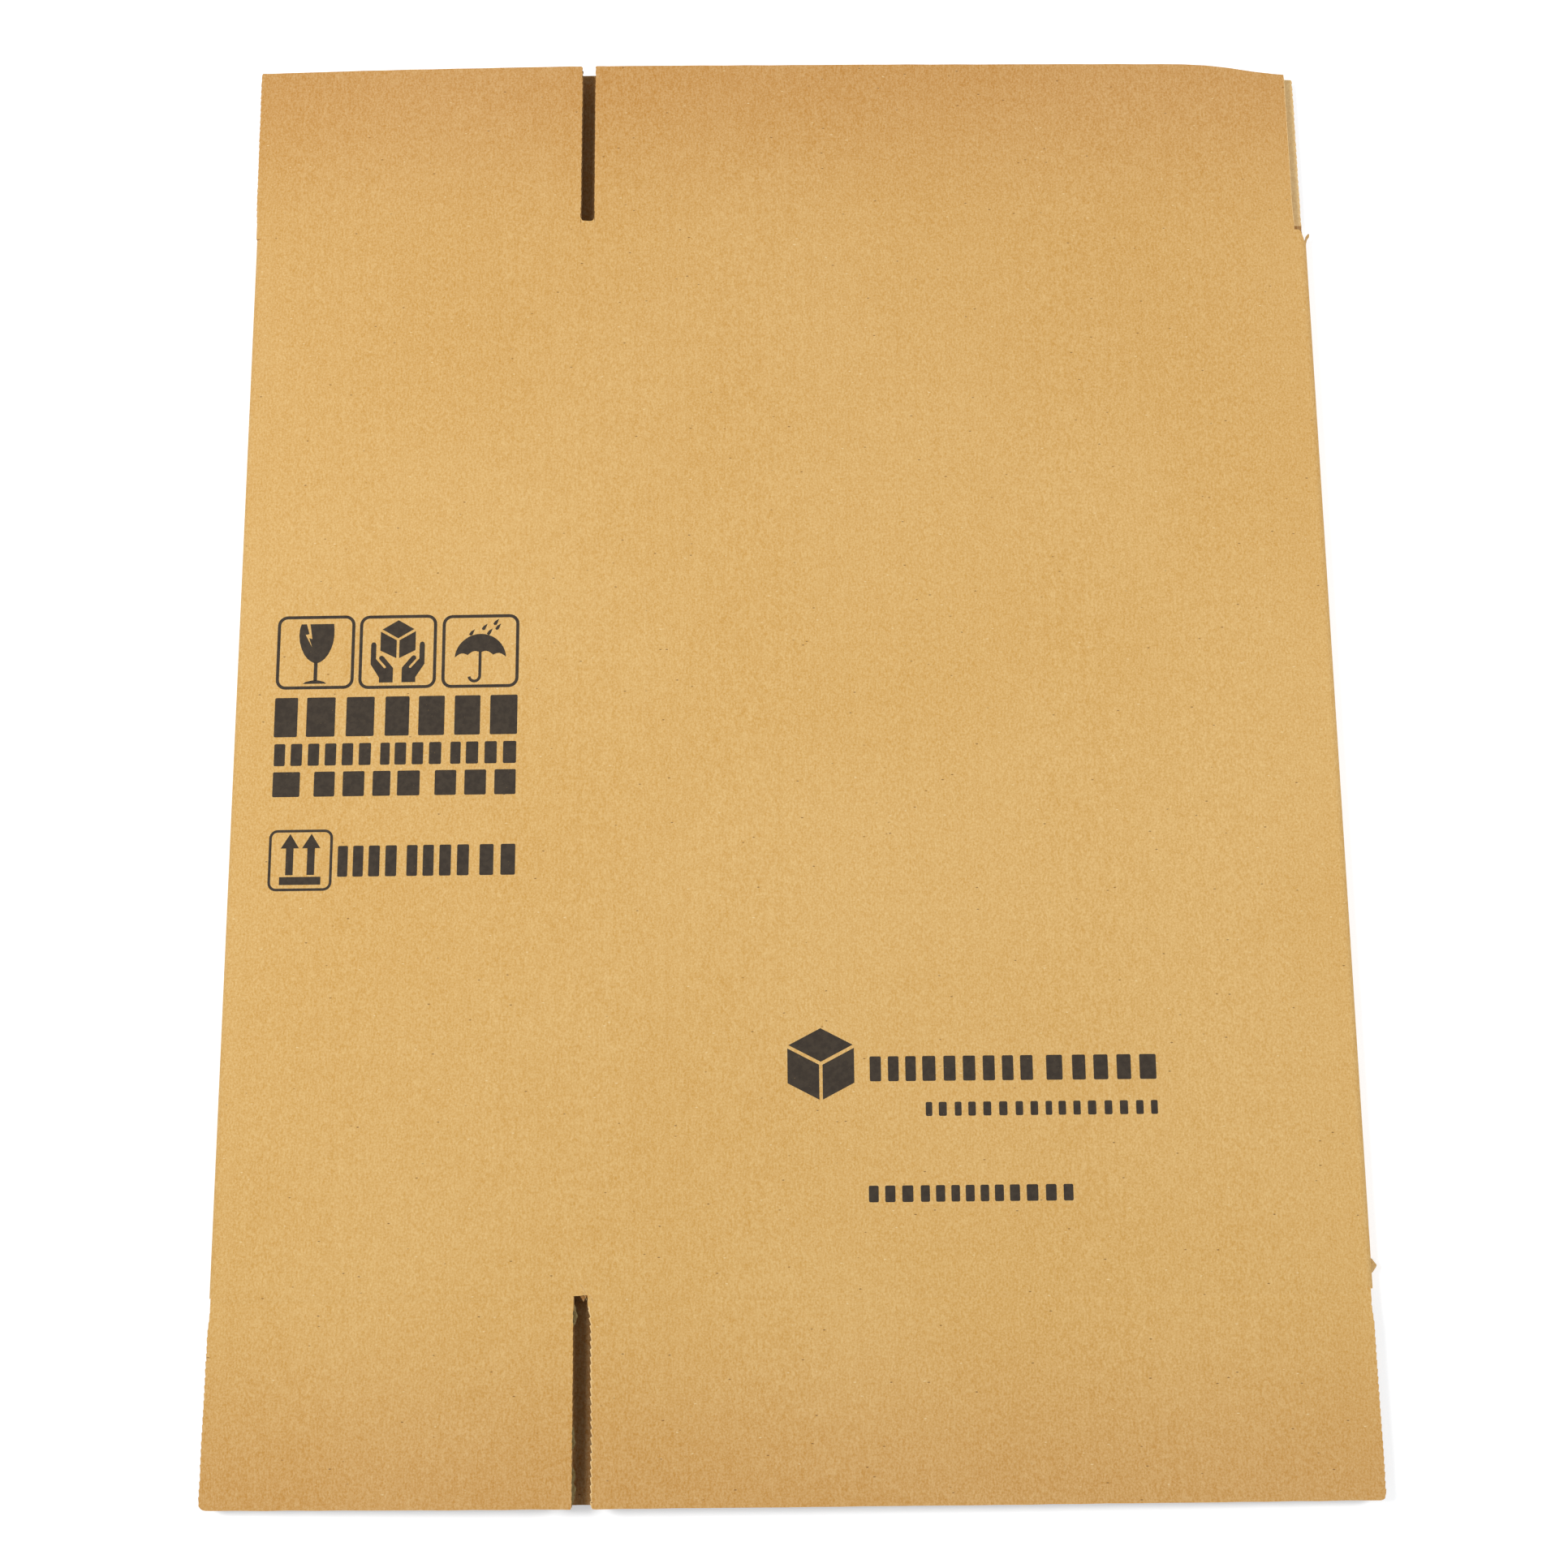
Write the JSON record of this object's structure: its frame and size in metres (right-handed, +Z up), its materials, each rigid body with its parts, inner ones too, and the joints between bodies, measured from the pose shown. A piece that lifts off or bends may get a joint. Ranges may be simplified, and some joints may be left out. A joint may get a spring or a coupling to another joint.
{
  "type": "corrugated shipping box",
  "caption": "Brown corrugated slotted carton folded flat, with its end flaps hinged at their creases and handling pictograms printed on the upper panels.",
  "frame": {"origin": "middle of the carton's outline, on the surface it lies on", "axes": "+X across the panels towards the wide upper panel's fold, +Y along the flutes towards the top flaps, +Z up from the surface it lies on"},
  "size_m": [0.4, 0.526, 0.0097],
  "materials": {
    "kraft_board": "uncoated brown kraft liner, matt, with fine dark and light fibres and a trace of the flutes"
  },
  "bodies": {
    "sleeve": {"sleeve": "kraft_board"},
    "top_upper_narrow_flap": {"top_upper_narrow_flap": "kraft_board"},
    "top_upper_wide_flap": {"top_upper_wide_flap": "kraft_board"},
    "top_lower_wide_flap": {"top_lower_wide_flap": "kraft_board"},
    "top_lower_narrow_flap": {"top_lower_narrow_flap": "kraft_board"},
    "bottom_upper_narrow_flap": {"bottom_upper_narrow_flap": "kraft_board"},
    "bottom_upper_wide_flap": {"bottom_upper_wide_flap": "kraft_board"},
    "bottom_lower_wide_flap": {"bottom_lower_wide_flap": "kraft_board"},
    "bottom_lower_narrow_flap": {"bottom_lower_narrow_flap": "kraft_board"}
  },
  "joints": [
    {"name": "top_upper_narrow_crease", "type": "hinge", "parent": "sleeve", "child": "top_upper_narrow_flap", "pos_m": [-0.1373, 0.196, 0.00821], "axis": [0.9997, 0, 0.0251], "range_deg": [0, 175]},
    {"name": "top_upper_wide_crease", "type": "hinge", "parent": "sleeve", "child": "top_upper_wide_flap", "pos_m": [0.0634, 0.196, 0.00829], "axis": [0.9999, 0, -0.0115], "range_deg": [0, 175]},
    {"name": "top_lower_wide_crease", "type": "hinge", "parent": "sleeve", "child": "top_lower_wide_flap", "pos_m": [-0.0618, 0.196, -0.00015], "axis": [-1, 0, 0], "range_deg": [0, 175]},
    {"name": "top_lower_narrow_crease", "type": "hinge", "parent": "sleeve", "child": "top_lower_narrow_flap", "pos_m": [0.1373, 0.196, -0.00015], "axis": [-1, 0, 0], "range_deg": [0, 175]},
    {"name": "bottom_upper_narrow_crease", "type": "hinge", "parent": "sleeve", "child": "bottom_upper_narrow_flap", "pos_m": [-0.1368, -0.196, 0.00823], "axis": [-0.9997, 0, -0.0251], "range_deg": [0, 175]},
    {"name": "bottom_upper_wide_crease", "type": "hinge", "parent": "sleeve", "child": "bottom_upper_wide_flap", "pos_m": [0.06505, -0.196, 0.00827], "axis": [-0.9999, 0, 0.0115], "range_deg": [0, 175]},
    {"name": "bottom_lower_wide_crease", "type": "hinge", "parent": "sleeve", "child": "bottom_lower_wide_flap", "pos_m": [-0.0618, -0.196, -0.00015], "axis": [1, 0, 0], "range_deg": [0, 175]},
    {"name": "bottom_lower_narrow_crease", "type": "hinge", "parent": "sleeve", "child": "bottom_lower_narrow_flap", "pos_m": [0.1363, -0.196, -0.00015], "axis": [1, 0, 0], "range_deg": [0, 175]}
  ]
}
